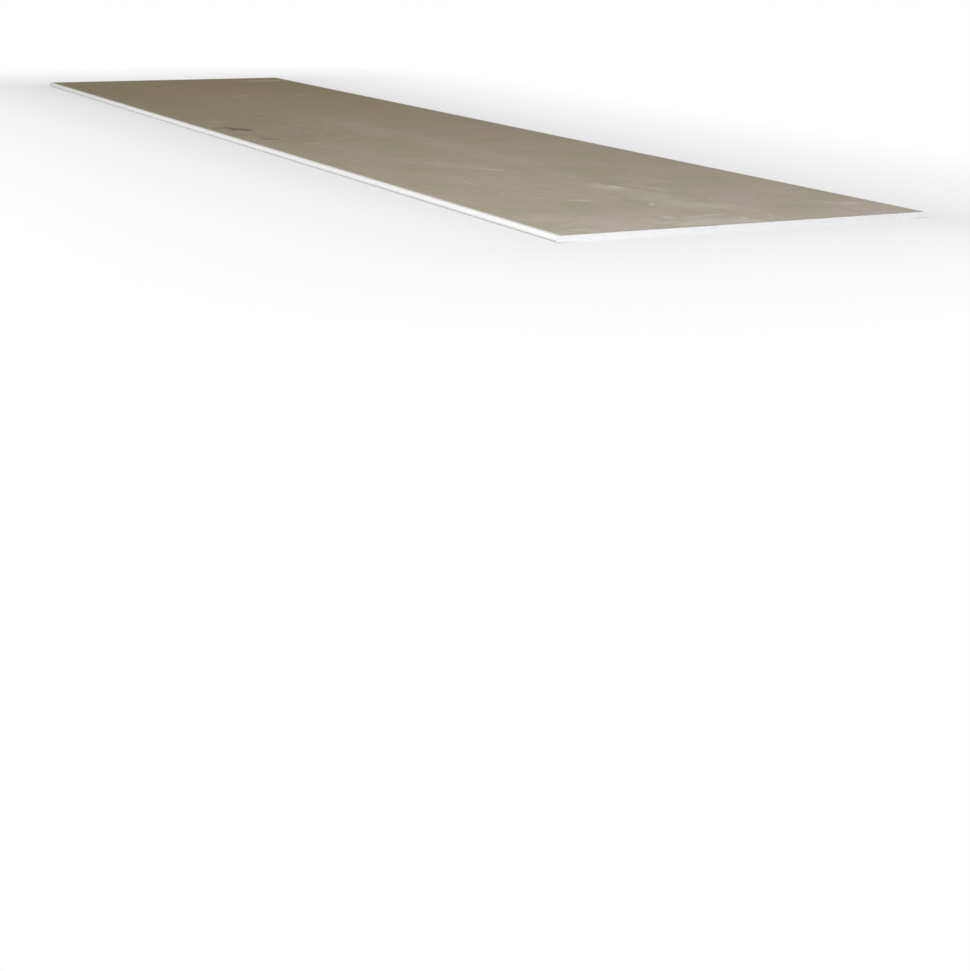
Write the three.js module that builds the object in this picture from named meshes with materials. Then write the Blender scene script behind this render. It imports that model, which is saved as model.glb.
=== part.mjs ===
// A gypsum plasterboard sheet: one flat board with long edges that are tapered
// on the finished face and rounded at the rim, and with two square-cut ends.
//
// The board lies face down. Millimetres: X runs across the sheet, Y along it and
// +Z up. The origin is the middle of the finished face, so z = 0 is the plane
// that the board rests on and z = BOARD_THICKNESS is its back.

import * as THREE from 'three';

// Driving dimensions of the board.
const BOARD_WIDTH = 600; // over the two rounded long edges
const BOARD_LENGTH = 2600; // between the two cut ends
const BOARD_THICKNESS = 9.5; // everywhere but along the tapers

// The long edges. The face falls back towards each rim, so that two sheets laid
// side by side leave a shallow channel for joint tape and filler.
const TAPER_WIDTH = 45; // from the rim to where the face is level again
const TAPER_DEPTH = 0.9; // how far the face has fallen back at the rim

// Steps that a quarter of the round rim, and half of the taper, are drawn with.
const CURVE_STEPS = 8;

const BACK_PAPER_COLOUR = 0x9a917f;

// The rim is a half circle over what the taper leaves of the thickness.
const rimRadius = (BOARD_THICKNESS - TAPER_DEPTH) / 2;
const rimHeight = TAPER_DEPTH + rimRadius;
const rimCentre = BOARD_WIDTH / 2 - rimRadius;
const faceEdge = BOARD_WIDTH / 2 - TAPER_WIDTH;

// The cross section, with the shape's x across the sheet and its y up. The taper
// is a shallow S, level where it leaves the face and level again at the rim.
function boardSection() {
  const taperMiddle = (faceEdge + rimCentre) / 2;
  const section = new THREE.Shape();
  section.moveTo(-faceEdge, 0);
  section.lineTo(faceEdge, 0);
  section.bezierCurveTo(taperMiddle, 0, taperMiddle, TAPER_DEPTH, rimCentre, TAPER_DEPTH);
  section.absarc(rimCentre, rimHeight, rimRadius, -Math.PI / 2, Math.PI / 2, false);
  section.lineTo(-rimCentre, BOARD_THICKNESS);
  section.absarc(-rimCentre, rimHeight, rimRadius, Math.PI / 2, 1.5 * Math.PI, false);
  section.bezierCurveTo(-taperMiddle, TAPER_DEPTH, -taperMiddle, 0, -faceEdge, 0);
  return section;
}

// The section is drawn out to the board's length and cut square at both ends.
function boardGeometry() {
  const geometry = new THREE.ExtrudeGeometry(boardSection(), {
    depth: BOARD_LENGTH,
    steps: 1,
    curveSegments: CURVE_STEPS,
    bevelEnabled: false,
  });
  geometry.rotateX(Math.PI / 2);
  geometry.translate(0, BOARD_LENGTH / 2, 0);
  return geometry;
}

const backPaper = new THREE.MeshStandardMaterial({
  color: BACK_PAPER_COLOUR,
  roughness: 0.95,
  metalness: 0,
});

const board = new THREE.Mesh(boardGeometry(), backPaper);
board.name = 'board';

const group = new THREE.Group();
group.add(board);

export default group;
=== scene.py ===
"""A gypsum board sheet, lying face down on a pale studio floor.

The sheet is one board made of three bonded layers, and each is a piece here: the
pale face paper, which wraps round both long edges, the grey-brown back paper, which
lies on top and stops just short of the rims, and the gypsum core, which shows only
at the two cut ends. The torn fibres that fringe each paper there are a piece too.
Metres, X across the sheet, Y along it, +Z up.
"""

import math
from functools import reduce

import bmesh
import bpy
from mathutils import Euler, Matrix, Vector


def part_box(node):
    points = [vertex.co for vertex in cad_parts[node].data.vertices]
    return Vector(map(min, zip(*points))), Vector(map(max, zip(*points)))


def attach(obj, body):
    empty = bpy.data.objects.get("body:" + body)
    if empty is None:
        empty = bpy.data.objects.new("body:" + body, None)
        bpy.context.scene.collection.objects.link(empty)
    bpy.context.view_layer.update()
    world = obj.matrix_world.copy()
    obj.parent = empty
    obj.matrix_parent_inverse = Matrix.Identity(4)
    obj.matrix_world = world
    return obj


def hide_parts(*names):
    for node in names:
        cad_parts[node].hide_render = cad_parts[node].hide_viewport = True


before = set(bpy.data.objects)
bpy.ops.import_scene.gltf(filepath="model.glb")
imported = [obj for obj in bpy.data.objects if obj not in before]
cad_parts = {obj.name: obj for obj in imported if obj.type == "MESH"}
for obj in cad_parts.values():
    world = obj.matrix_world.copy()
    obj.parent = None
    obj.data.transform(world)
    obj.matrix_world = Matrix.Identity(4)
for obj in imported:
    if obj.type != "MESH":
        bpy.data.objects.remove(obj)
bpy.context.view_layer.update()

MM = 0.001

# The board, as the frame has it.
_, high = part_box("board")
HALF_WIDTH = high.x
HALF_LENGTH = high.y
THICKNESS = high.z

# The long edges: the face falls back by TAPER_DEPTH over TAPER_WIDTH, and what is
# left of the thickness is rounded to a half circle.
TAPER_WIDTH = 45 * MM
TAPER_DEPTH = 0.9 * MM

# The papers. The face paper comes up round each rim and reaches FLAP_REACH in over
# the core, and the back paper is glued over it, LAP_INSET in from the rim.
FACE_PAPER = 0.35 * MM
BACK_PAPER = 0.28 * MM
LAP_INSET = 8.5 * MM
FLAP_REACH = 22 * MM

# How far from the sheet's middle line its level face, its back paper and its core's
# bare top reach.
FACE_EDGE = HALF_WIDTH - TAPER_WIDTH
LAP_EDGE = HALF_WIDTH - LAP_INSET
FLAP_EDGE = HALF_WIDTH - FLAP_REACH

# The rim as the face paper makes it: it stops one back paper below the top.
RIM_TOP = THICKNESS - BACK_PAPER
RIM_RADIUS = (RIM_TOP - TAPER_DEPTH) / 2
RIM_HEIGHT = TAPER_DEPTH + RIM_RADIUS
RIM_CENTRE = HALF_WIDTH - RIM_RADIUS


# ---------------------------------- node helpers

# Noise keeps mostly within a quarter either side of its middle, NOISE_MIDDLE, and
# NOISE_STRETCH brings that quarter to 1.
NOISE_MIDDLE = 0.5
NOISE_STRETCH = 4.0


class Value:
    """What a node gives. Numbers go into formulas as they are, and each step of a
    formula becomes a Math node."""

    def __init__(self, socket):
        self.socket = socket
        self.tree = socket.id_data

    def __add__(self, other):
        return calc("ADD", self, other)

    def __sub__(self, other):
        return calc("SUBTRACT", self, other)

    def __rsub__(self, other):
        return calc("SUBTRACT", other, self)

    def __mul__(self, other):
        return calc("MULTIPLY", self, other)

    def __truediv__(self, other):
        return calc("DIVIDE", self, other)

    def __rtruediv__(self, other):
        return calc("DIVIDE", other, self)

    def __gt__(self, other):
        return calc("GREATER_THAN", self, other)

    def __lt__(self, other):
        return calc("LESS_THAN", self, other)

    def __abs__(self):
        return calc("ABSOLUTE", self)


def fill(socket, value):
    """Links a node's value to a socket, or sets the socket's own value."""
    if isinstance(value, Value):
        value.tree.links.new(value.socket, socket)
    elif value is not None:
        socket.default_value = value


def new_node(tree, kind, inputs=(), **settings):
    """Adds a node, and fills its inputs by name or number."""
    made = tree.nodes.new(kind)
    for name, value in settings.items():
        setattr(made, name, value)
    for key, value in dict(inputs).items():
        fill(made.inputs[key], value)
    return made


def outputs_of(made):
    """The values that a node gives, by name."""
    return {socket.name: Value(socket) for socket in made.outputs}


def add(tree, kind, inputs=(), out=0, **settings):
    """Adds a node and gives the value of one output."""
    return Value(new_node(tree, kind, inputs, **settings).outputs[out])


def add_on(values, kind, **settings):
    """Adds a node whose first inputs are the values, in the tree that they are in."""
    tree = next(value.tree for value in values if isinstance(value, Value))
    return add(tree, kind, enumerate(values), **settings)


def calc(operation, *values, clamp=False):
    """One Math node."""
    return add_on(values, "ShaderNodeMath", operation=operation, use_clamp=clamp)


def vector_calc(operation, *values, out=0):
    """One Vector Math node."""
    return add_on(values, "ShaderNodeVectorMath", out=out, operation=operation)


def chain(operation, values):
    """Math nodes that take the values in one after another."""
    return reduce(lambda total, value: calc(operation, total, value), values)


def split(vector):
    """A vector's x, y and z."""
    made = new_node(vector.tree, "ShaderNodeSeparateXYZ", {0: vector})
    return outputs_of(made).values()


def join(x=0.0, y=0.0, z=0.0):
    """A vector of x, y and z."""
    return add_on((x, y, z), "ShaderNodeCombineXYZ")


def drawn_out(vector, angle, stretch):
    """A vector turned round +Z by an angle in radians, and then stretched."""
    inputs = {"Vector": vector, "Angle": angle}
    kind = "ShaderNodeVectorRotate"
    turned = add(vector.tree, kind, inputs, rotation_type="Z_AXIS")
    return vector_calc("MULTIPLY", turned, stretch)


def ramp(value, start, end, low=0.0, high=1.0, smooth=True):
    """value between start and end, turned into low to high and held there."""
    kind = "SMOOTHSTEP" if smooth else "LINEAR"
    inputs = (value, start, end, low, high)
    return add_on(inputs, "ShaderNodeMapRange", interpolation_type=kind)


def noise(vector, scale, detail=2.0, roughness=0.5):
    """Soft cloudy noise, 0 to 1 round 0.5; scale is how many lumps to a metre."""
    inputs = {"Vector": vector, "Scale": scale, "Detail": detail}
    inputs["Roughness"] = roughness
    return add(vector.tree, "ShaderNodeTexNoise", inputs)


def unevenness(value, amount):
    """Noise made a shift that keeps mostly within the amount either way."""
    return (value - NOISE_MIDDLE) * amount * NOISE_STRETCH


def cells(vector, scale):
    """Cells, scale of them to a metre: the distance from the nearest one's middle,
    in cells, and two numbers from 0 to 1 that are drawn for it."""
    inputs = {"Vector": vector, "Scale": scale}
    given = outputs_of(new_node(vector.tree, "ShaderNodeTexVoronoi", inputs))
    first, second, _ = split(given["Color"])
    return given["Distance"], first, second


def blend(factor, *colours, mode="MIX"):
    """Mixes two colours."""
    first, second = ((*c, 1.0) if isinstance(c, tuple) else c for c in colours)
    tree = next(v.tree for v in (factor, first, second) if isinstance(v, Value))
    inputs = {0: factor, 6: first, 7: second}
    kind = "ShaderNodeMix"
    return add(tree, kind, inputs, out=2, data_type="RGBA", blend_type=mode)


def mottled(colour, *layers):
    """A colour made lighter and darker by layers of noise, each with its weight."""
    shifts = ((layer - NOISE_MIDDLE) * weight for layer, weight in layers)
    light = chain("ADD", shifts) + 1.0
    return blend(1.0, colour, join(light, light, light), mode="MULTIPLY")


def new_group(name, kind, inputs, outputs):
    """An empty node group, what its inputs give, and its output sockets. An input
    comes with the number that it starts at, or with its type, as an output does."""
    group = bpy.data.node_groups.new(name, kind)
    new_socket = group.interface.new_socket
    for label, start in inputs.items():
        number = {float: "Float", int: "Int"}.get(type(start))
        sort = "NodeSocket" + (number or start)
        made = new_socket(label, in_out="INPUT", socket_type=sort)
        if number:
            made.default_value = start
    for label, sort in outputs.items():
        new_socket(label, in_out="OUTPUT", socket_type="NodeSocket" + sort)
    given = outputs_of(group.nodes.new("NodeGroupInput"))
    return group, given, group.nodes.new("NodeGroupOutput").inputs


def new_effect(name, inputs, *outputs):
    """An empty shader group that works on a place and gives masks or tones."""
    inputs = {"Vector": "Vector", **inputs}
    return new_group(name, "ShaderNodeTree", inputs, dict.fromkeys(outputs, "Float"))


def use(group, place, inputs):
    """Lays a shader group over a place, and gives its values by name."""
    inputs = {"Vector": place, **inputs}
    return outputs_of(new_node(place.tree, "ShaderNodeGroup", inputs, node_tree=group))


# -------------------------------- shared effects

# The ways that the fibres of a paper lie, in radians, and its specks to a metre.
FIBRE_TURNS = (-0.8, 0.95, 0.12)
SPECKS_PER_METRE = 900.0

# The ways that scratches run, in radians, each with the shift that sets it apart, and
# how quickly a scratch comes up to its full strength.
SCRATCH_TURNS = ((0.35, 0.0), (-1.15, 4.0), (1.25, 8.0))
SCRATCH_FADE = 0.06

# A smear is whole inside this share of its reach.
SMEAR_HEART = 0.25


def make_paper_fibres():
    """Short matted fibres: a tone round 0.5, and pale and dark specks of 0 to 1."""
    sizes = {"Fibre Width": 0.35 * MM, "Fibre Length": 3.0 * MM, "Specks": 0.3}
    outputs = ("Tone", "Light Specks", "Dark Specks")
    tree, given, result = new_effect("paper_fibres", sizes, *outputs)
    place, across = given["Vector"], 1.0 / given["Fibre Width"]
    stretch = join(across, 1.0 / given["Fibre Length"], across)
    layers = [
        noise(drawn_out(place, angle, stretch), 1.0, 2.0, 0.6) for angle in FIBRE_TURNS
    ]
    fill(result["Tone"], chain("ADD", layers) / len(layers))
    spots = noise(place, SPECKS_PER_METRE, 1.0, 0.5)
    fill(result["Light Specks"], ramp(spots, 0.68, 0.78) * given["Specks"])
    fill(result["Dark Specks"], ramp(spots, 0.32, 0.22) * given["Specks"])
    return tree


def make_smear():
    """One smear on the top: an uneven patch, 1 in its middle and 0 outside."""
    inputs = {"Break Up": 0.5, "Centre": "Vector", "Size": "Vector", "Turn": 0.0}
    inputs["Raggedness"] = 0.8
    tree, given, result = new_effect("smear", inputs, "Mask")
    local = vector_calc("SUBTRACT", given["Vector"], given["Centre"])
    local = drawn_out(local, given["Turn"], (1.0, 1.0, 0.0))
    reach = vector_calc("LENGTH", vector_calc("DIVIDE", local, given["Size"]), out=1)
    torn = unevenness(given["Break Up"], given["Raggedness"])
    fill(result["Mask"], ramp(reach + torn, 1.0, SMEAR_HEART))
    return tree


def make_edge_band():
    """A band along a sheet's edges: 1 at the rims and cut ends, 0 further in."""
    sizes = {"Reach": 8.0 * MM, "Unevenness": 0.5}
    tree, given, result = new_effect("edge_band", sizes, "Mask")
    x, y, _ = split(given["Vector"])
    nearest = calc("MINIMUM", HALF_WIDTH - abs(x), HALF_LENGTH - abs(y))
    patchy = unevenness(noise(given["Vector"], 45.0, 3.0, 0.6), given["Unevenness"])
    fill(result["Mask"], ramp(nearest / given["Reach"] + patchy, 1.0, 0.0))
    return tree


def make_scratches():
    """Fine straight scratches in a few directions, 1 on each and 0 between them."""
    sizes = {"Scratch Width": 1.0 * MM, "Scratch Length": 120 * MM, "Rarity": 0.7}
    tree, given, result = new_effect("scratches", sizes, "Mask")
    stretch = join(1.0 / given["Scratch Width"], 1.0 / given["Scratch Length"], 1.0)
    sure = given["Rarity"] + SCRATCH_FADE
    lines = []
    for angle, shift in SCRATCH_TURNS:
        drawn = drawn_out(given["Vector"], angle, stretch)
        drawn = vector_calc("ADD", drawn, (shift, shift, 0.0))
        lines.append(ramp(noise(drawn, 1.0, 1.0, 0.4), given["Rarity"], sure))
    fill(result["Mask"], chain("MAXIMUM", lines))
    return tree


paper_fibres = make_paper_fibres()
scratches = make_scratches()
smear = make_smear()
edge_band = make_edge_band()


# ------------------------------------- materials


def new_material(name, colour, roughness, gloss):
    """A material with its Principled shader's plain values set on its sockets. Also
    gives the shader, and the place on a piece, in metres in the sheet's own frame."""
    material = bpy.data.materials.new(name)
    material.use_nodes = True
    material.diffuse_color = (*colour, 1.0)
    shader = material.node_tree.nodes["Principled BSDF"]
    fill(shader.inputs["Base Color"], (*colour, 1.0))
    fill(shader.inputs["Roughness"], roughness)
    fill(shader.inputs["Specular IOR Level"], gloss)
    place = outputs_of(new_node(material.node_tree, "ShaderNodeTexCoord"))["Object"]
    return material, shader, place


def bump(shader, height, depth):
    """Bends the surface's normal by a height of 0 to 1 that is depth metres deep."""
    inputs = {"Height": height, "Distance": depth}
    fill(shader.inputs["Normal"], add(height.tree, "ShaderNodeBump", inputs))


# The back paper: its pulp, which drifts between a warmer and a greener grey-brown, its
# single fibres, what has come onto it, and painted light and shadow.
LINER_BROWN = (0.337, 0.279, 0.175)
LINER_WARM = (0.350, 0.262, 0.181)
LINER_GREEN = (0.312, 0.284, 0.163)
LINER_DARK_FIBRE = (0.12, 0.09, 0.06)
LINER_PALE_FIBRE = (0.50, 0.46, 0.38)
# Pale grey of the dust, which also carries painted light towards the near end.
DUST_AND_LIGHT_PALE = (0.85, 0.86, 0.86)
RUBBED_CHALK = (0.85, 0.86, 0.77)
SMUDGE_AND_SHADOW_GREY = (0.10, 0.09, 0.065)
LINER_RELIEF = 0.12 * MM

# How noise is drawn out into the pulp's faint streaks along the sheet, and into those
# of the rubs, which turn from the sheet's length by DRAG_TURN degrees, as it was slid.
PULP_STREAKS = (90.0, 2.5, 1.0)
DRAG_STREAKS = (320.0, 36.0, 1.0)
DRAG_TURN = -10.0

# The paper is darker for a short reach in from its edges, a little on the left half of
# the sheet and more towards the right rim.
DARK_EDGE_REACH = 12.0 * MM
DARK_EDGE_LEFT = 0.05
DARK_EDGE_RIGHT = 0.20

# The back is paler from the near end along the sheet: partly gypsum dust, partly painted
# light and sheen that fade along it. A little more dust lies right beside the cut.
DUST_AND_LIGHT_AT_END = 0.20
DUST_AND_LIGHT_REACH = 2.3
CUT_DUST = 0.06
CUT_DUST_REACH = 0.09

# How strong the fine scratches are, and how ragged the three kinds of smear.
SCORED = 0.10
SCUFF_RAGGED = 0.75
HAZE_RAGGED = 0.6
SMUDGE_AND_SHADOW_RAGGED = 0.7

# Chalky rubs on the back. Each is a stroke: how far in millimetres from the near end and
# from the left rim it starts, the same for where it stops, its half width and strength.
SCUFFS = (
    (15, 290, 15, 345, 12, 0.11),
    (60, 325, 20, 305, 8, 0.20),
    (25, 200, 20, 225, 12, 0.20),
    (35, 45, 30, 65, 8, 0.18),
    (75, 250, 85, 320, 7, 0.32),
    (95, 220, 75, 225, 10, 0.22),
    (70, 45, 85, 80, 12, 0.10),
    (15, 345, 65, 375, 5, 0.12),
    (120, 535, 105, 570, 10, 0.20),
    (150, 510, 130, 525, 10, 0.15),
    (180, 335, 115, 350, 8, 0.14),
    (210, 395, 215, 445, 5, 0.14),
    (190, 260, 215, 275, 4, 0.30),
    (245, 395, 215, 375, 5, 0.09),
    (285, 175, 265, 205, 9, 0.48),
    (320, 140, 315, 155, 7, 0.24),
    (375, 360, 315, 370, 9, 0.22),
    (400, 340, 370, 365, 6, 0.22),
    (415, 305, 360, 325, 9, 0.31),
    (450, 300, 400, 315, 6, 0.20),
    (390, 285, 345, 310, 12, 0.12),
    (550, 315, 450, 305, 5, 0.12),
    (560, 285, 545, 320, 5, 0.10),
    (400, 125, 355, 110, 5, 0.10),
    (405, 165, 400, 175, 7, 0.12),
    (440, 160, 435, 175, 7, 0.12),
    (430, 420, 400, 435, 6, 0.15),
    (425, 545, 410, 555, 7, 0.12),
    (545, 130, 470, 125, 5, 0.17),
    (565, 115, 540, 130, 5, 0.12),
    (665, 225, 625, 270, 7, 0.15),
    (675, 225, 635, 240, 7, 0.30),
    (665, 335, 655, 355, 6, 0.16),
    (770, 180, 725, 195, 6, 0.12),
    (830, 70, 820, 80, 10, 0.18),
    (880, 355, 800, 340, 8, 0.07),
    (1105, 95, 1095, 120, 12, 0.14),
    (1440, 330, 1420, 355, 10, 0.08),
    (1540, 55, 1530, 90, 20, 0.13),
    (2075, 460, 2100, 470, 20, 0.10),
    (2050, 285, 2130, 345, 15, 0.11),
    (2505, 495, 2520, 575, 30, 0.28),
)

# Broad soft films of dust, in the same terms.
HAZES = (
    (40, 170, 30, 320, 50, 0.15),
    (320, 295, 110, 335, 60, 0.11),
    (430, 285, 340, 320, 25, 0.13),
    (170, 330, 110, 355, 25, 0.06),
    (150, 500, 70, 570, 30, 0.06),
    (150, 40, 60, 180, 60, 0.05),
    (800, 180, 600, 260, 50, 0.05),
    (1250, 330, 550, 310, 50, 0.05),
    (1540, 300, 1150, 310, 60, 0.06),
)

# Dark rubs and grubby patches on the back, and the painted shadow of a small dent, in
# the same terms.
SMUDGES_AND_SHADOW = (
    (1415, 45, 1355, 75, 26, 0.75),
    (1420, 30, 1380, 60, 12, 0.30),
    (1217, 55, 1187, 70, 14, 0.55),
    (1320, 70, 1210, 60, 12, 0.16),
    (1640, 175, 1615, 200, 20, 0.14),
    (1560, 60, 1440, 70, 16, 0.08),
    (2500, 90, 950, 110, 150, 0.11),
    (2020, 490, 1780, 510, 50, 0.08),
    (2440, 440, 2380, 500, 50, 0.08),
    (1420, 560, 1260, 560, 30, 0.07),
    (345, 240, 315, 265, 12, 0.12),
    (395, 245, 370, 250, 10, 0.12),
    # Painted shadow: the dark side of a small dent, which the paper's shape doesn't
    # have.
    (225, 280, 220, 285, 4, 0.40),
    (180, 250, 180, 260, 4, 0.20),
)


def stroke_of(place, break_up, raggedness, mark):
    """One mark of a list, as a smear along its stroke."""
    *sizes, strength = mark
    y0, x0, y1, x1, half_width = (size * MM for size in sizes)
    half_length = math.hypot(x1 - x0, y1 - y0) / 2
    inputs = {
        "Break Up": break_up,
        "Centre": ((x0 + x1) / 2 - HALF_WIDTH, (y0 + y1) / 2 - HALF_LENGTH, 0.0),
        "Size": (half_length + half_width, half_width, 1.0),
        "Turn": -math.atan2(y1 - y0, x1 - x0),
        "Raggedness": raggedness,
    }
    return use(smear, place, inputs)["Mask"] * strength


def smears(place, break_up, raggedness, marks):
    """The strongest of a list of marks at each point."""
    masks = (stroke_of(place, break_up, raggedness, mark) for mark in marks)
    return chain("MAXIMUM", masks)


def bare_liner(place, clouds, mottle, fibres):
    """The colour of the clean back paper: clouds and streaks in its pulp, a hue that
    drifts, and single dark and pale fibres."""
    streaks = noise(vector_calc("MULTIPLY", place, PULP_STREAKS), 1.0)
    layers = (clouds, 0.10), (streaks, 0.06), (mottle, 0.09), (fibres["Tone"], 0.9)
    colour = mottled(LINER_BROWN, *layers)
    hue = noise(place, 7.0, 4.0, 0.6)
    colour = blend(ramp(hue, 0.51, 0.66, 0.0, 0.9), colour, LINER_WARM)
    colour = blend(ramp(hue, 0.49, 0.34, 0.0, 0.8), colour, LINER_GREEN)
    colour = blend(fibres["Dark Specks"], colour, LINER_DARK_FIBRE)
    return blend(fibres["Light Specks"], colour, LINER_PALE_FIBRE)


def dust_and_painted_light(y, clouds, mottle, break_up):
    """The dust on the back, with painted light that fades from the near end, in shares
    of a full cover.
    """
    end = -HALF_LENGTH
    # Painted light: this cover fades along the sheet from the near end, as light and
    # sheen fall off.
    dust_and_light = ramp(y, DUST_AND_LIGHT_REACH - HALF_LENGTH, end, 0.0, DUST_AND_LIGHT_AT_END, smooth=False)
    dust_and_light = dust_and_light * ramp(clouds, 0.2, 0.8, 0.8, 1.2)
    by_cut = ramp(y, CUT_DUST_REACH - HALF_LENGTH, end, 0.0, CUT_DUST)
    by_cut = by_cut * ramp(mottle, 0.3, 0.7, 0.5, 1.5)
    return (dust_and_light + by_cut) * ramp(break_up, 0.2, 0.8, 0.8, 1.2)


def chalky_scuffs(place, break_up, tone):
    """The chalky rubs, streaked the way the sheets above are dragged off this one,
    and the fine scratches, all of them caught on the fibres."""
    drag = drawn_out(place, math.radians(DRAG_TURN), DRAG_STREAKS)
    drag = noise(drag, 1.0, 3.0, 0.6)
    rubs = smears(place, break_up, SCUFF_RAGGED, SCUFFS)
    rubs = rubs * ramp(drag, 0.38, 0.62, 0.6, 1.25)
    scored = use(scratches, place, {"Rarity": 0.74})["Mask"] * SCORED
    return (rubs + scored) * ramp(tone, 0.38, 0.60, 0.5, 1.3)


def back_paper_material():
    """Grey-brown recycled liner: matted fibres, dust, chalky scuffs and dark rubs, with
    painted light near the end and a dent's painted shadow.
    """
    material, shader, place = new_material("back_paper", LINER_BROWN, 0.9, 0.07)
    x, y, _ = split(place)
    clouds = noise(place, 7.0, 3.0, 0.55)
    mottle = noise(place, 55.0, 3.0, 0.6)
    break_up = noise(place, 60.0, 4.0, 0.65)
    drift = noise(place, 16.0, 4.0, 0.6)
    fibres = use(paper_fibres, place, {"Fibre Width": 0.4 * MM, "Specks": 0.6})
    colour = bare_liner(place, clouds, mottle, fibres)

    # What is on it: a darker band along the edges, dust with painted light, chalk, and
    # dark rubs with a dent's painted shadow over it all.
    edge_share = use(edge_band, place, {"Reach": DARK_EDGE_REACH})["Mask"]
    dark_edge_share = ramp(x, 0.0, HALF_WIDTH, DARK_EDGE_LEFT, DARK_EDGE_RIGHT)
    colour = blend(edge_share * dark_edge_share, colour, SMUDGE_AND_SHADOW_GREY)
    # Paler towards the near end: gypsum dust, and painted light and sheen.
    dust_and_light = dust_and_painted_light(y, clouds, mottle, break_up)
    colour = blend(dust_and_light, colour, DUST_AND_LIGHT_PALE)
    scuffed = chalky_scuffs(place, break_up, fibres["Tone"])
    film = smears(place, drift, HAZE_RAGGED, HAZES)
    chalk = calc("ADD", scuffed, film, clamp=True)
    colour = blend(chalk, colour, RUBBED_CHALK)
    # The painted shadow of a small dent is among these dark marks.
    rubbed = smears(place, break_up, SMUDGE_AND_SHADOW_RAGGED, SMUDGES_AND_SHADOW)
    colour = blend(rubbed, colour, SMUDGE_AND_SHADOW_GREY)
    fill(shader.inputs["Base Color"], colour)
    fill(shader.inputs["Roughness"], ramp(dust_and_light + chalk, 0.0, 0.6, 0.84, 0.98))
    bump(shader, fibres["Tone"] + mottle * 1.5 + scuffed * 0.6, LINER_RELIEF)
    return material


# The face paper, the grime on it, how far in from its edges it is rubbed, and how far
# out from the back paper the strip beside it is greyer.
FACE_IVORY = (0.815, 0.812, 0.806)
FACE_GRIME = (0.42, 0.40, 0.36)
FACE_RELIEF = 0.03 * MM
RUBBED_REACH = 4.0 * MM
SHOULDER_REACH = 5.0 * MM


def face_paper_material():
    """Smooth off-white liner, a little rubbed where it rounds the long edges."""
    material, shader, place = new_material("face_paper", FACE_IVORY, 0.75, 0.2)
    clouds = noise(place, 9.0, 3.0, 0.55)
    mottle = noise(place, 120.0, 3.0, 0.6)
    sizes = {"Fibre Width": 0.25 * MM, "Fibre Length": 1.6 * MM, "Specks": 0.05}
    fibres = use(paper_fibres, place, sizes)
    tone = fibres["Tone"]
    colour = mottled(FACE_IVORY, (clouds, 0.05), (mottle, 0.05), (tone, 0.12))
    colour = blend(fibres["Dark Specks"], colour, FACE_GRIME)

    # The strip beside the back paper, on the top of each rim, is greyer in patches.
    x, _, z = split(place)
    shoulder = ramp(abs(x), LAP_EDGE + SHOULDER_REACH, LAP_EDGE) * (z > RIM_HEIGHT)
    patchy = noise(place, 70.0, 4.0, 0.7)
    shoulder = shoulder * ramp(patchy, 0.3, 0.7, 0.3, 0.6)
    edge_share = use(edge_band, place, {"Reach": RUBBED_REACH})["Mask"]
    edge_share = edge_share * ramp(patchy, 0.55, 0.75, 0.0, 0.25)
    colour = blend(calc("MAXIMUM", edge_share, shoulder), colour, FACE_GRIME)
    fill(shader.inputs["Base Color"], colour)
    fill(shader.inputs["Roughness"], ramp(mottle, 0.2, 0.8, 0.68, 0.8))
    bump(shader, tone + mottle, FACE_RELIEF)
    return material


# The core, and the name under which its mesh keeps how deep in a pit each point is.
GYPSUM = (0.785, 0.79, 0.805)
# The next colour is painted shade, laid down in the air pits and pinholes.
GYPSUM_PIT_SHADE = (0.56, 0.57, 0.58)
GYPSUM_RELIEF = 0.15 * MM
PIT = "pit"


def gypsum_material():
    """Set gypsum, powdery and fine-grained, with painted shade down in its air pits and
    pinholes.
    """
    material, shader, place = new_material("gypsum_core", GYPSUM, 1.0, 0.1)
    grain = noise(place, 1400.0, 3.0, 0.7)
    clouds = noise(place, 40.0, 3.0, 0.6)
    colour = mottled(GYPSUM, (grain, 0.22), (clouds, 0.08))
    reach, draw, _ = cells(place, 900.0)
    pinholes = ramp(reach, 0.30, 0.12) * (draw < 0.25)
    pits = add(place.tree, "ShaderNodeAttribute", out=2, attribute_name=PIT)
    # Painted shade: the pits and pinholes are darkened where shade would fall in them.
    pit_shade = calc("MAXIMUM", pits, pinholes * 0.6)
    fill(shader.inputs["Base Color"], blend(pit_shade, colour, GYPSUM_PIT_SHADE))
    bump(shader, grain - pinholes, GYPSUM_RELIEF)
    return material


# -------------------- the papers' cross sections

# How finely the sections are divided: steps in each curve, and the longest step in
# each straight run.
TAPER_STEPS = 14
RIM_STEPS = 20
CORNER_STEPS = 3
FACE_STEP = 6 * MM
BACK_STEP = 4 * MM
FLAP_STEP = 3 * MM

# The back paper's upper corners are rounded by this share of its thickness.
CORNER_SHARE = 0.4


def arc(centre_x, centre_z, radius, start, end, steps):
    """Points along an arc, its angles in degrees, 0 towards +X and 90 up."""
    angles = [math.radians(start + (end - start) * i / steps) for i in range(steps + 1)]
    return [
        (centre_x + radius * math.cos(angle), centre_z + radius * math.sin(angle))
        for angle in angles
    ]


def taper(start, end, steps):
    """The S of the taper, from (x, z) start to end, level where it meets both."""
    (x0, z0), (x1, z1) = start, end
    middle = (x0 + x1) / 2
    points = []
    for i in range(steps + 1):
        t = i / steps
        a, b, c, d = (1 - t) ** 3, 3 * t * (1 - t) ** 2, 3 * t * t * (1 - t), t**3
        points.append((a * x0 + (b + c) * middle + d * x1, (a + b) * z0 + (c + d) * z1))
    return points


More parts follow.
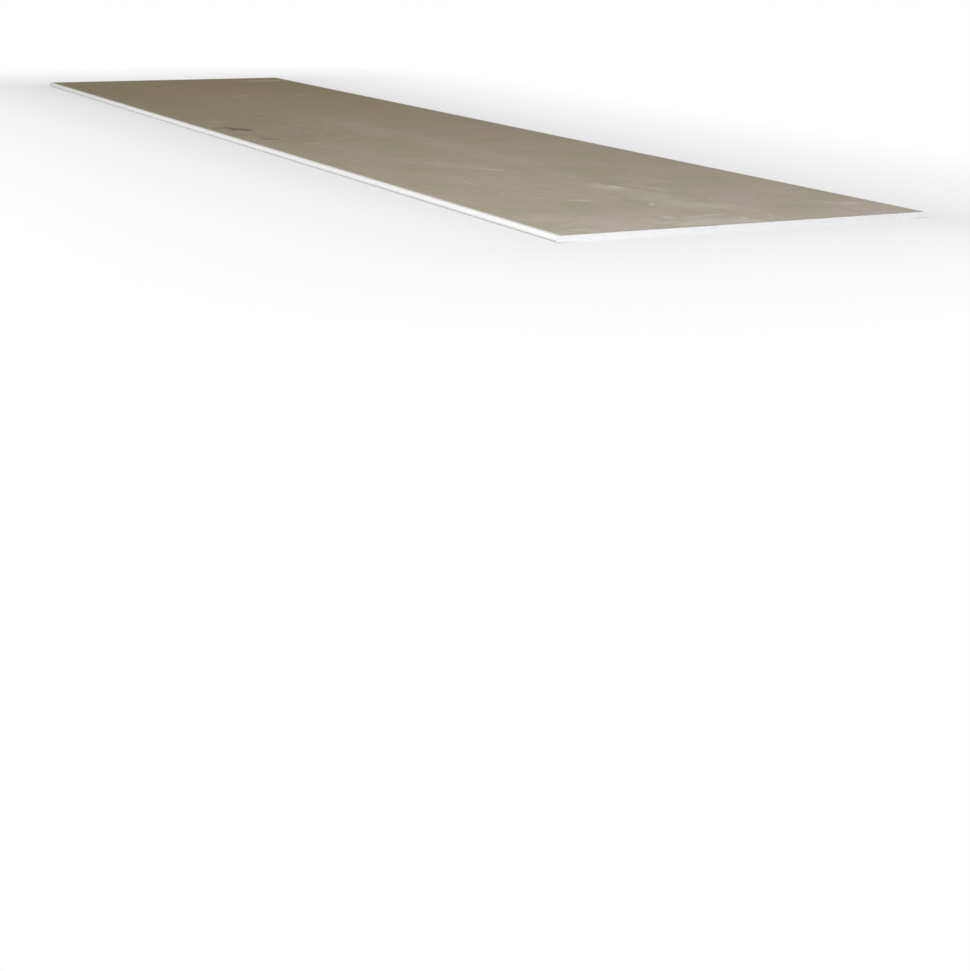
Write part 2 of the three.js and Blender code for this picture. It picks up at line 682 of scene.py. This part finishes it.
def straight(start, end, step):
    """Points along a straight run, no further apart than step."""
    (x0, z0), (x1, z1) = start, end
    count = max(1, math.ceil(math.hypot(x1 - x0, z1 - z0) / step))
    return [
        (x0 + (x1 - x0) * i / count, z0 + (z1 - z0) * i / count)
        for i in range(count + 1)
    ]


def without_repeats(points):
    """The points with each that repeats the one before it left out."""
    kept = points[:1]
    for point in points:
        if math.dist(point, kept[-1]) > 1e-7:
            kept.append(point)
    return kept


def wrapped_line(inset):
    """The face paper's outer line, or its inner line at inset, from its left flap
    round the left rim, under the face, round the right rim to its right flap."""
    top = RIM_TOP - inset
    face_end = (FACE_EDGE, inset)
    right = taper(face_end, (RIM_CENTRE, TAPER_DEPTH + inset), TAPER_STEPS)
    right += arc(RIM_CENTRE, RIM_HEIGHT, RIM_RADIUS - inset, -90, 90, RIM_STEPS)
    right += straight((RIM_CENTRE, top), (FLAP_EDGE, top), FLAP_STEP)
    left = [(-x, z) for x, z in reversed(right)]
    face = straight((-FACE_EDGE, inset), face_end, FACE_STEP)
    return without_repeats(left + face + right)


def face_paper_ring():
    """The face paper's section: along its inner line, and back along its outer."""
    return wrapped_line(FACE_PAPER) + wrapped_line(0.0)[::-1]


def back_paper_ring():
    """The back paper's section, a flat strip with softened upper corners: along its
    top, and back along its underside through as many points."""
    soft = BACK_PAPER * CORNER_SHARE
    left = arc(-LAP_EDGE + soft, THICKNESS - soft, soft, 180, 90, CORNER_STEPS)
    right = arc(LAP_EDGE - soft, THICKNESS - soft, soft, 90, 0, CORNER_STEPS)
    top = straight(left[-1], right[0], BACK_STEP)
    top = without_repeats(left + top + right)
    under = [(x, THICKNESS - BACK_PAPER) for x, _ in top]
    return top + under[::-1]


# --------------------- geometry nodes for pieces

# How far an end's seed is from the one given, so that no two ends are alike.
PAPER_ENDS_APART = 3.7
CORE_ENDS_APART = 5.3

# The core's cut lies CUT_INSET or more in from the sheet's ends and has a grain that
# is CUT_GRAIN deep, and the saw's marks lean by CUT_SLANT of their height.
CUT_INSET = 0.05 * MM
CUT_GRAIN = 0.12 * MM
CUT_SLANT = 0.55

# The band inside the back paper's edge that follows the edge as it wanders.
EDGE_BAND = 14 * MM

# The drawn paper's sizes are the face paper's, and the torn fibres' are those of the
# back paper. These are what the other paper of each has instead.
BACK_PAPER_SIZES = {
    "Ragged Depth": 0.45 * MM,
    "Edge Wander": 0.5 * MM,
    "Cockle Depth": 0.08 * MM,
    "Cockle Floor": THICKNESS - BACK_PAPER / 2,
    "Seed": 9.0,
}
FACE_FRAY_SIZES = {
    "Half Width": FACE_EDGE,
    "Level": 0.3 * MM,
    "Fibres per Metre": 260.0,
    "Hang": math.pi,
    "Seed": 8,
}


def new_maker(name, inputs):
    """An empty geometry tree for a piece, which also takes the piece's material."""
    inputs = {**inputs, "Material": "Material"}
    return new_group(name, "GeometryNodeTree", inputs, {"Geometry": "Geometry"})


def point_place(tree):
    """The x, y and z of each point."""
    return split(add(tree, "GeometryNodeInputPosition"))


def through(shape, kind, inputs=(), **settings):
    """What a geometry node makes of a shape."""
    inputs = {0: shape, **dict(inputs)}
    return add(shape.tree, "GeometryNode" + kind, inputs, **settings)


def moved(shape, by=None, to=None):
    """A shape with its points moved by an offset, or to a place."""
    return through(shape, "SetPosition", {"Position": to, "Offset": by})


def together(*shapes):
    """Several shapes as one."""
    both = new_node(shapes[0].tree, "GeometryNodeJoinGeometry")
    for shape in shapes:
        fill(both.inputs[0], shape)
    return Value(both.outputs[0])


def give_out(given, result, shape):
    """Ends a piece's tree: its shape made real, and in its material."""
    shape = through(shape, "RealizeInstances")
    shape = through(shape, "SetMaterial", {2: given["Material"]})
    fill(result["Geometry"], shape)


def crowded_path(tree, half, rows):
    """A line along the sheet, whose rows of points crowd towards its ends."""
    ends = {0: join(y=half * -1.0), 1: join(y=half)}
    path = add(tree, "GeometryNodeCurvePrimitiveLine", ends)
    path = through(path, "ResampleCurve", {"Count": rows})
    _, y, _ = point_place(tree)
    share = y / half * (math.pi / 2)
    return moved(path, to=join(y=calc("SINE", share) * half))


def make_drawn_paper():
    """Geometry nodes that draw a paper's section out to the sheet's length, with
    ragged cut ends, edges that wander and a top that cockles."""
    sizes = {
        "Geometry": "Geometry",
        "Half Length": HALF_LENGTH,
        "Rows": 131,
        "Ragged Depth": 0.35 * MM,
        "Ragged Reach": 5.0 * MM,
        "Edge Wander": 0.0,
        "Cockle Depth": 0.0,
        "Cockle Floor": 0.0,
        "Seed": 4.0,
    }
    tree, given, result = new_maker("drawn_paper", sizes)
    half = given["Half Length"]
    profile = through(given["Geometry"], "MeshToCurve")
    body = through(crowded_path(tree, half, given["Rows"]), "CurveToMesh", {1: profile})
    x, y, z = point_place(tree)
    side, end = calc("SIGN", x), calc("SIGN", y)
    seed = given["Seed"] + end * PAPER_ENDS_APART

    # The cut: each end falls back by an amount that changes across the sheet.
    near = ramp(half - abs(y), given["Ragged Reach"], 0.0)
    torn = ramp(noise(join(x, seed), 55.0, 4.0, 0.7), 0.35, 0.7)
    fall = given["Ragged Depth"] * torn * near * end * -1.0

    # The long edges of the strip wander in a little.
    drift = ramp(noise(join(seed, y, side), 9.0, 4.0, 0.6), 0.3, 0.7)
    at_edge = ramp(abs(x), LAP_EDGE - EDGE_BAND, LAP_EDGE)
    drift = drift * given["Edge Wander"] * at_edge * -1.0 * side

    # The top cockles down from its highest level.
    swell = ramp(noise(join(x, y, given["Seed"]), 6.0), 0.3, 0.7)
    sink = swell * given["Cockle Depth"] * (z > given["Cockle Floor"]) * -1.0
    give_out(given, result, moved(body, by=join(drift, fall, sink)))
    return tree


def core_section(tree, given):
    """Where a flat grid, -1 to 1 both ways, has to go to fill the core's section."""
    # Across, straight to the rim's centre, then round by angle.
    u, v, _ = point_place(tree)
    reach = abs(u)
    turn_at = 1.0 - given["Rim Share"]
    flat = calc("MINIMUM", reach, turn_at) / turn_at * given["Rim Centre"]
    angle = ramp(reach, turn_at, 1.0, 0.0, math.pi / 2, smooth=False)
    x = (flat + calc("SINE", angle) * given["Rim Radius"]) * calc("SIGN", u)
    height = calc("COSINE", angle) * given["Rim Radius"]

    # Low down it reaches to the face where that is level, and high up to the back
    # paper where the face paper's flaps don't lie between.
    level = ramp(flat, given["Rim Centre"], given["Taper Start"])
    drop = (v - 1.0) * 0.5 * (level * given["Taper Depth"])
    bare = abs(x) < given["Flap Start"]
    rise = (v + 1.0) * 0.5 * (bare * given["Flap Thickness"])
    z = v * height + drop + rise + given["Rim Height"]
    return join(x, given["Half Length"] * -1.0, z)


def walled(tree, near_end, length):
    """A flat end, its copy turned inside out at the other end, and walls between."""
    along = join(y=length)
    far_end = through(moved(near_end, by=along), "FlipFaces")
    rim = add(tree, "GeometryNodeInputMeshEdgeNeighbors") < 1.5
    walls = {"Selection": rim, "Offset": along, "Offset Scale": 1.0}
    walls = through(near_end, "ExtrudeMesh", walls, mode="EDGES")
    return through(together(far_end, walls), "MergeByDistance", {"Distance": 0.01 * MM})


def rough_cut(tree, given, body):
    """The cut ends' surface: chatter, grain and air pits. Both ends are shaped by the
    same rules with other seeds."""
    x, y, z = point_place(tree)
    end = calc("SIGN", y)
    seed = given["Seed"] + end * CORE_ENDS_APART
    place = join(x, seed, z)
    broad = ramp(noise(place, 35.0), 0.3, 0.7)
    marks = ramp(noise(join(x + z * CUT_SLANT, seed), 380.0, 2.0, 0.6), 0.35, 0.65)
    grain = noise(place, 1100.0, 2.0, 0.6)
    reach, size, draw = cells(place, given["Pits per Metre"])
    radius = ramp(size, 0.0, 1.0, 0.10, 0.32, smooth=False) * (draw < 0.55)
    pit = ramp(reach / calc("MAXIMUM", radius, 0.01), 1.0, 0.3)
    body = through(body, "StoreNamedAttribute", {"Name": PIT, "Value": pit})
    fine = marks * given["Chatter"] + grain * CUT_GRAIN
    depth = broad * given["Recess"] + fine + pit * given["Pit Depth"] + CUT_INSET
    return moved(body, by=join(y=depth * end * -1.0))


def make_sawn_core():
    """Geometry nodes for the gypsum core: a fine grid shaped to the section at each
    cut end, walls between the two, and the rough surface of the cut. Its points keep
    how deep in a pit they are, 0 at the cut and 1 at the bottom."""
    sizes = {
        "Half Length": HALF_LENGTH,
        "Rim Centre": RIM_CENTRE,
        "Rim Height": RIM_HEIGHT,
        "Rim Radius": RIM_RADIUS - FACE_PAPER,
        "Taper Start": FACE_EDGE,
        "Taper Depth": TAPER_DEPTH,
        "Flap Start": FLAP_EDGE,
        "Flap Thickness": FACE_PAPER,
        "Columns": 1201,
        "Rows": 18,
        "Rim Share": 0.012,
        "Recess": 0.25 * MM,
        "Chatter": 0.22 * MM,
        "Pit Depth": 0.6 * MM,
        "Pits per Metre": 330.0,
        "Seed": 2.0,
    }
    tree, given, result = new_maker("sawn_core", sizes)
    grid = {0: 2.0, 1: 2.0, 2: given["Columns"], 3: given["Rows"]}
    grid = add(tree, "GeometryNodeMeshGrid", grid)
    near_end = moved(grid, to=core_section(tree, given))
    body = walled(tree, near_end, given["Half Length"] * 2.0)
    give_out(given, result, rough_cut(tree, given, body))
    return tree


def drawn_number(tree, lowest, highest, seed):
    """A number drawn between two for each point."""
    inputs = {2: lowest, 3: highest, "Seed": seed}
    return add(tree, "FunctionNodeRandomValue", inputs, out=1)


def one_fibre(tree):
    """One torn fibre, a millimetre long, flat and bent, tapering to its tip."""
    bend = {"Resolution": 3, "Start": (0.0, 0.0, 0.0)}
    bend["Middle"] = (0.25 * MM, 0.0, -0.5 * MM)
    bend["End"] = (-0.1 * MM, 0.0, -1.0 * MM)
    bend = add(tree, "GeometryNodeCurveQuadraticBezier", bend)
    section = {"Resolution": 3, "Radius": 0.055 * MM}
    section = add(tree, "GeometryNodeCurvePrimitiveCircle", section)
    along = add(tree, "GeometryNodeSplineParameter")
    thin = ramp(along, 0.0, 1.0, 1.3, 0.35, smooth=False)
    drawn = {1: section, "Fill Caps": True, "Scale": thin}
    return through(bend, "CurveToMesh", drawn)


def make_torn_fibres():
    """Geometry nodes for the fuzz of a cut paper edge: short bent fibres that lie
    against both cut ends of the sheet and hang from one level of it."""
    sizes = {
        "Half Width": LAP_EDGE,
        "End": HALF_LENGTH - 0.10 * MM,
        "Level": THICKNESS - BACK_PAPER * 0.75,
        "Level Spread": 0.2 * MM,
        "Lie Depth": 0.12 * MM,
        "Fibres per Metre": 420.0,
        "Longest": 2.6,
        "Hang": 0.0,
        "Spread": 1.2,
        "Seed": 3,
    }
    tree, given, result = new_maker("torn_fibres", sizes)
    fibre = one_fibre(tree)

    # A narrow strip of the cut carries the roots, scattered along it.
    width, depth = given["Half Width"] * 2.0, given["Level Spread"]
    strip = add(tree, "GeometryNodeMeshGrid", {0: width, 1: depth, 2: 2, 3: 2})
    density = width * given["Fibres per Metre"] / (width * depth)
    fringes = []
    for side, shift in ((-1.0, 0.0), (1.0, 17.0)):
        seed = given["Seed"] + shift
        roots = {"Density": density, "Seed": seed}
        roots = through(strip, "DistributePointsOnFaces", roots)
        x, across, _ = point_place(tree)
        inward = drawn_number(tree, 0.0, given["Lie Depth"], seed)
        place = join(x, (given["End"] - inward) * side, across + given["Level"])
        swing = drawn_number(tree, -1.0, 1.0, seed + 1.0)
        swing = swing * given["Spread"] + given["Hang"]
        size = drawn_number(tree, 0.25, 1.0, seed + 2.0)
        size = calc("POWER", size, 2.0) * given["Longest"]
        planted = {"Instance": fibre, "Rotation": join(y=swing)}
        planted["Scale"] = join(1.0, 0.6, size)
        roots = moved(roots, to=place)
        fringes.append(through(roots, "InstanceOnPoints", planted))
    give_out(given, result, together(*fringes))
    return tree


drawn_paper = make_drawn_paper()
sawn_core = make_sawn_core()
torn_fibres = make_torn_fibres()


# ------------------------------ the pieces' maps

# The map that each big piece's patterns are laid out on. What is seen gets nearly all of
# it, the papers more near the rims, from RIM_BAND inside the rim's centre, and what is
# shut inside the sheet gets a little.
PIECE_MAP = "OFBake"
ROOM_INSIDE = 0.08
ROOM_AT_RIM = 3.0
RIM_BAND = 4 * MM

# Rows of a map: where the first starts, from one to the next, and how high each is. A
# paper's two halves lie in PAPER_ROWS with its cut ends in CUT_ROWS over them, and the
# core's face and back lie in HIDDEN_ROWS over its cut ends.
PAPER_ROWS = (0.005, 0.47, 0.46)
CUT_ROWS = (0.945, 0.03, 0.022)
HIDDEN_ROWS = (0.80, 0.10, 0.09)

# A map is this many half widths of the sheet across, which leaves a margin, and a
# paper's half takes LENGTH_SHARE of it, less the same margin.
MAP_SPAN = 2.04
LENGTH_SHARE = 0.99
LENGTH_START = 0.995

# The core's cut ends lie in strips, CORE_STRIPS to an end and STRIPS_TOP up the map
# in all, each a little smaller than its room.
CORE_STRIPS = 5
STRIPS_TOP = 0.78
STRIP_WIDTH = 0.98
STRIP_HEIGHT = 0.96
CUT_DEPTH = 5 * MM


def room_for(x, z, out_x, out_z):
    """How much of the map a stretch of a paper's section gets for its length."""
    middle = max(-RIM_CENTRE, min(RIM_CENTRE, x))
    outward = (x - middle) * out_x + (z - RIM_HEIGHT) * out_z
    lapped = abs(x) < LAP_EDGE and RIM_HEIGHT < z < RIM_TOP + 0.01 * MM
    if outward < 0 or lapped:
        return ROOM_INSIDE
    return ROOM_AT_RIM if abs(x) > RIM_CENTRE - RIM_BAND else 1.0


def opened_out(section):
    """How far up the map each point of a closed section lies, from 0, with the
    first point's place when the line comes back to it added at the end, at 1."""
    sides = list(zip(section, section[1:] + section[:1]))
    turn = sum(x0 * z1 - x1 * z0 for (x0, z0), (x1, z1) in sides)
    side = 1 if turn > 0 else -1
    reach = [0.0]
    for (x0, z0), (x1, z1) in sides:
        out_x, out_z = (z1 - z0) * side, (x0 - x1) * side
        room = room_for((x0 + x1) / 2, (z0 + z1) / 2, out_x, out_z)
        reach.append(reach[-1] + math.hypot(x1 - x0, z1 - z0) * room)
    return [value / reach[-1] for value in reach]


def up_rows(rows, row, share):
    """How far up the map a share of the way up one of a set of rows is."""
    start, pitch, height = rows
    return start + pitch * row + height * share


def across_map(x, backwards):
    """How far across the map a place on a line across the sheet is."""
    return 0.5 + x / HALF_WIDTH / (-MAP_SPAN if backwards else MAP_SPAN)


def map_paper(piece, count):
    """Lays a drawn paper, of count points round its section, out on its map: the
    section goes up the map, the length across it in two rows, one above the other,
    and the two cut ends lie over them."""
    mesh = piece.data
    layer = mesh.uv_layers.new(name=PIECE_MAP).uv
    middle = len(mesh.vertices) // count // 2 * count
    section = [mesh.vertices[middle + i].co for i in range(count)]
    up = opened_out([(place.x, place.z) for place in section])
    low = min(place.z for place in section)
    high = max(place.z for place in section)
    for face in mesh.polygons:
        beyond = face.center.y > 0
        wraps = {vertex % count for vertex in face.vertices} == {0, count - 1}
        at_cut = len({vertex // count for vertex in face.vertices}) == 1
        for corner, vertex in zip(face.loop_indices, face.vertices):
            x, y, z = mesh.vertices[vertex].co
            if at_cut:
                share = (z - low) / (high - low)
                spot = across_map(x, beyond), up_rows(CUT_ROWS, beyond, share)
            else:
                step = count if wraps and vertex % count == 0 else vertex % count
                along = (y + HALF_LENGTH * (not beyond)) / HALF_LENGTH
                across = LENGTH_START - LENGTH_SHARE * along
                spot = across, up_rows(PAPER_ROWS, beyond, up[step])
            layer[corner].vector = spot


def map_core(piece):
    """Lays the core out on its map: each cut end in strips, one above the other, and
    its hidden back and face squeezed in over them."""
    mesh = piece.data
    layer = mesh.uv_layers.new(name=PIECE_MAP).uv
    width = 2 * HALF_WIDTH / CORE_STRIPS
    height = STRIPS_TOP / CORE_STRIPS / 2
    for face in mesh.polygons:
        middle = face.center
        beyond, on_top = middle.y > 0, middle.z > RIM_HEIGHT
        cut = abs(middle.y) > HALF_LENGTH - CUT_DEPTH
        strip = int((middle.x + HALF_WIDTH) / width)
        strip = min(CORE_STRIPS - 1, max(0, strip))
        for corner, vertex in zip(face.loop_indices, face.vertices):
            x, y, z = mesh.vertices[vertex].co
            if cut:
                across = (x + HALF_WIDTH) / width - strip - 0.5
                across = 0.5 + STRIP_WIDTH * across * (-1 if beyond else 1)
                row = STRIP_HEIGHT * z / THICKNESS + strip + CORE_STRIPS * beyond
                spot = across, row * height
            else:
                share = 0.5 + y / HALF_LENGTH / 2
                spot = across_map(x, not on_top), up_rows(HIDDEN_ROWS, on_top, share)
            layer[corner].vector = spot


# ------------------------------- building pieces


def show(thing):
    """Puts an object in the scene."""
    bpy.context.scene.collection.objects.link(thing)


def section_mesh(section):
    """A section as a closed loop of edges in the XY plane. Its height is -Y there,
    because that is how a profile stands when it is drawn out along +Y."""
    mesh = bpy.data.meshes.new("section")
    count = len(section)
    edges = [(i, (i + 1) % count) for i in range(count)]
    mesh.from_pydata([(x, -z, 0.0) for x, z in section], edges, [])
    return mesh


def grown(name, section, tree, material, values):
    """Runs a geometry tree, on a section where it draws one out, with its named
    inputs set, and gives the result as a plain mesh object of that name."""
    base = bpy.data.objects.new("seed", section_mesh(section))
    show(base)
    modifier = base.modifiers.new("grow", "NODES")
    modifier.node_group = tree
    values = {"Material": material, **values}
    for item in tree.interface.items_tree:
        if item.in_out == "INPUT" and item.name in values:
            modifier[item.identifier] = values[item.name]
    base.update_tag()
    bpy.context.view_layer.update()
    seen = base.evaluated_get(bpy.context.evaluated_depsgraph_get())
    mesh = bpy.data.meshes.new_from_object(seen)
    bpy.data.objects.remove(base)
    piece = bpy.data.objects.new(name, mesh)
    mesh.name = name
    show(piece)
    return piece


def close_ends(piece, count):
    """Closes both cut ends of a drawn paper, with a ladder of faces between the two
    lines of its section. count is how many points the section has."""
    body = bmesh.new()
    body.from_mesh(piece.data)
    body.verts.ensure_lookup_table()
    for start, side in ((0, -1), (len(body.verts) - count, 1)):
        ring = [body.verts[start + i] for i in range(count)]
        for k in range(count // 2 - 1):
            rung = (ring[k], ring[k + 1], ring[count - 2 - k], ring[count - 1 - k])
            face = body.faces.new(rung)
            face.normal_update()
            if face.normal.y * side < 0:
                face.normal_flip()
    body.to_mesh(piece.data)
    body.free()


def smooth(piece, angle=40):
    """Shades a piece smooth, with its folds over the angle kept sharp."""
    piece.data.shade_smooth()
    piece.data.set_sharp_from_angle(angle=math.radians(angle))


def place_piece(piece):
    """Makes a piece part of the sheet's one body, in place of the plain board."""
    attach(piece, "root")
    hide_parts("board")


def build_paper(name, section, material, values):
    """A paper drawn out along the sheet, which has the name of its material slot."""
    piece = grown(name, section, drawn_paper, material, values)
    close_ends(piece, len(section))
    smooth(piece)
    map_paper(piece, len(section))
    place_piece(piece)


def build_gypsum_core():
    """The core between the papers, which shows at the two cut ends."""
    piece = grown("gypsum_core", [], sawn_core, gypsum_material(), {})
    smooth(piece, 50)
    map_core(piece)
    place_piece(piece)


def build_fray(name, material, values):
    """The fuzz of one paper at both cut ends."""
    piece = grown(name, [], torn_fibres, material, values)
    smooth(piece)
    place_piece(piece)


# ----------------------- camera, floor and light

# Where the sheet is seen from: the camera's place, its heading to the right of +Y,
# its tilt below the horizon, its roll, and its lens and sensor in millimetres.
CAMERA_PLACE = (-1.441, -3.357, 0.377)
CAMERA_HEADING = 26.93
CAMERA_TILT = 16.60
CAMERA_ROLL = 0.82
CAMERA_LENS = 68.6
CAMERA_SENSOR = 36.0

# The floor, just under the sheet. Seen by the camera, it is lifted by FLOOR_LIFT of the
# way to white beside the sheet, and is plain white from WHITE_AT away. WHITE_CURVE is
# the power that bends the way between, quick at first.
FLOOR_SIZE = 80.0
FLOOR_LEVEL = -0.05 * MM
FLOOR_PALE = 0.76
FLOOR_LIFT = 0.42
WHITE_AT = 0.60
WHITE_CURVE = 0.6
WHITE = (1.0, 1.0, 1.0, 1.0)

# The lamps, each with its place, what it faces, its size and its power: a large one
# from the left front, a weak one near the end, and a low one beside the left edge.
LAMPS = (
    ("key", (-2.3, -3.2, 1.6), (0.0, -1.0, 0.0), 1.5, 95.0),
    ("fill", (1.3, -2.6, 0.5), (0.3, -1.3, 0.0), 0.6, 2.8),
    ("side", (-1.6, 0.45, 0.14), (-0.3, 0.45, 0.0), 0.26, 4.6),
)
ROOM_LIGHT = 0.49


def mixed(share, first, second):
    """Two shaders mixed, by the share of the second."""
    return add_on((share, first, second), "ShaderNodeMixShader")


def seen_as(lit, seen):
    """A shader that the camera sees in the place of the one that takes the light."""
    return mixed(add(lit.tree, "ShaderNodeLightPath"), lit, seen)


def floor_material():
    """A matt pale floor, which the camera sees go to white away from the sheet."""
    material, shader, place = new_material("floor", (FLOOR_PALE,) * 3, 1.0, 0.0)
    lit = Value(shader.outputs[0])
    reach = vector_calc("ABSOLUTE", place)
    beyond = vector_calc("SUBTRACT", reach, (HALF_WIDTH, HALF_LENGTH, 0.0))
    beyond = vector_calc("MAXIMUM", beyond, (0.0, 0.0, 0.0))
    away = vector_calc("LENGTH", beyond, out=1)
    far = ramp(away, 0.0, WHITE_AT, smooth=False)
    far = calc("POWER", far, WHITE_CURVE)
    white = add(lit.tree, "ShaderNodeEmission", {"Color": WHITE, "Strength": 1.0})
    seen = mixed(far, mixed(FLOOR_LIFT, lit, white), white)
    output = material.node_tree.nodes["Material Output"]
    fill(output.inputs["Surface"], seen_as(lit, seen))
    return material


def build_floor():
    """A pale floor that keeps the sheet's shadow."""
    mesh = bpy.data.meshes.new("floor")
    half = FLOOR_SIZE / 2
    corners = [(-half, -half), (half, -half), (half, half), (-half, half)]
    mesh.from_pydata([(x, y, FLOOR_LEVEL) for x, y in corners], [], [(0, 1, 2, 3)])
    mesh.materials.append(floor_material())
    floor = bpy.data.objects.new("floor", mesh)
    show(floor)


def build_world():
    """Soft light from all round, and plain white behind everything."""
    world = bpy.data.worlds.new("studio")
    world.use_nodes = True
    tree = world.node_tree
    ambient = tree.nodes["Background"]
    fill(ambient.inputs["Color"], WHITE)
    fill(ambient.inputs["Strength"], ROOM_LIGHT)
    white = add(tree, "ShaderNodeBackground", {"Color": WHITE, "Strength": 1.0})
    surface = seen_as(Value(ambient.outputs[0]), white)
    fill(tree.nodes["World Output"].inputs["Surface"], surface)
    bpy.context.scene.world = world


def soft_box(name, place, target, size, power):
    """A square area light at place, turned to face target."""
    data = bpy.data.lights.new(name, "AREA")
    data.shape = "SQUARE"
    data.size = size
    data.energy = power
    lamp = bpy.data.objects.new(name, data)
    lamp.location = place
    facing = Vector(target) - Vector(place)
    lamp.rotation_euler = facing.to_track_quat("-Z", "Y").to_euler()
    show(lamp)


def build_camera():
    """The camera, low down and out beyond the sheet's near left corner."""
    data = bpy.data.cameras.new("camera")
    data.sensor_width = CAMERA_SENSOR
    data.lens = CAMERA_LENS
    camera = bpy.data.objects.new("camera", data)
    camera.location = CAMERA_PLACE
    aim = Euler((math.radians(90 - CAMERA_TILT), 0.0, math.radians(-CAMERA_HEADING)))
    roll = Matrix.Rotation(math.radians(CAMERA_ROLL), 3, "Z")
    camera.rotation_euler = (aim.to_matrix() @ roll).to_euler()
    show(camera)
    bpy.context.scene.camera = camera


# ------------------------------------- the scene

build_camera()
face_liner = face_paper_material()
back_liner = back_paper_material()
build_paper("face_paper", face_paper_ring(), face_liner, {})
build_paper("back_paper", back_paper_ring(), back_liner, BACK_PAPER_SIZES)
build_gypsum_core()
build_fray("back_fray", back_liner, {})
build_fray("face_fray", face_liner, FACE_FRAY_SIZES)
build_floor()
build_world()
for lamp in LAMPS:
    soft_box(*lamp)

scene = bpy.context.scene
scene.view_settings.view_transform = "Standard"
